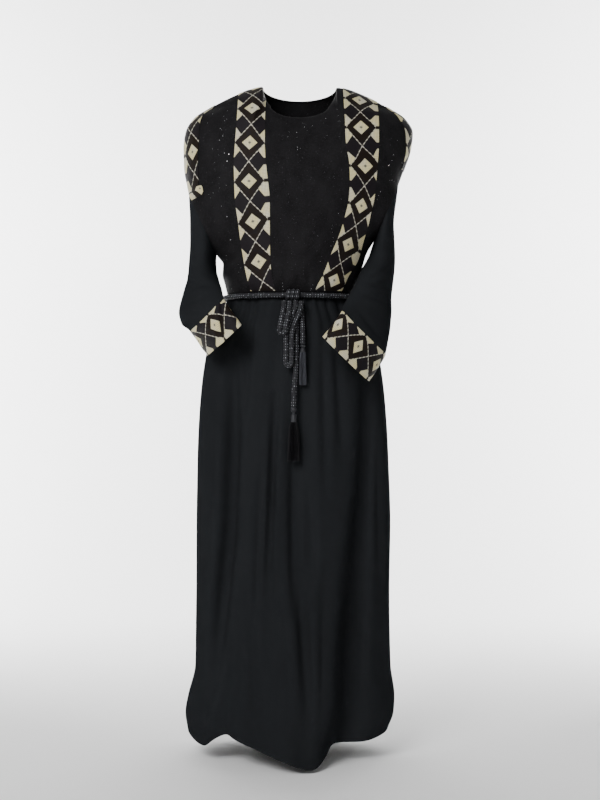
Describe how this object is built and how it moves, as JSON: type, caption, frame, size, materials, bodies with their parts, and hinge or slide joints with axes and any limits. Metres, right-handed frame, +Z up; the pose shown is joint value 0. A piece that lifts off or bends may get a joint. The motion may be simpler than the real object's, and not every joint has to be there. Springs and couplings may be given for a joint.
{
  "type": "kaftan",
  "caption": "Ankle-length black kaftan in wear, with sequinned bodice, woven ribbon bands and cuffs, and a tied cord belt with two tassels.",
  "frame": {"origin": "midway between the shoulder points of the neck, where a wearer's shoulders or a hanger hold the kaftan", "axes": "+Z up along the body, -Y to the front, -X to the wearer's right"},
  "size_m": [0.4819, 0.3452, 1.3751],
  "materials": {
    "sequinned_cloth": "fine sequinned weave with scattered rhinestones",
    "black_crepe": "matte crepe",
    "woven_ribbon": "metallic woven ribbon, cream and brown-black diamonds",
    "black_braid": "braided cord"
  },
  "bodies": {
    "root": {"bodice_front": "sequinned_cloth", "bodice_back": "sequinned_cloth", "ribbon_inner_right": "woven_ribbon", "ribbon_inner_left": "woven_ribbon", "ribbon_outer_right": "woven_ribbon", "ribbon_outer_left": "woven_ribbon", "sleeve_right_upper": "black_crepe", "sleeve_right_lower": "black_crepe", "sleeve_left_upper": "black_crepe", "sleeve_left_lower": "black_crepe", "cuff_right": "woven_ribbon", "cuff_left": "woven_ribbon", "skirt_front": "black_crepe", "skirt_back": "black_crepe", "belt_cord": "black_braid", "knot": "black_braid", "loop_right": "black_braid", "loop_left": "black_braid", "tail_long": "black_braid", "tail_short": "black_braid", "tassel_long": "black_crepe", "tassel_short": "black_crepe"}
  },
  "joints": []
}
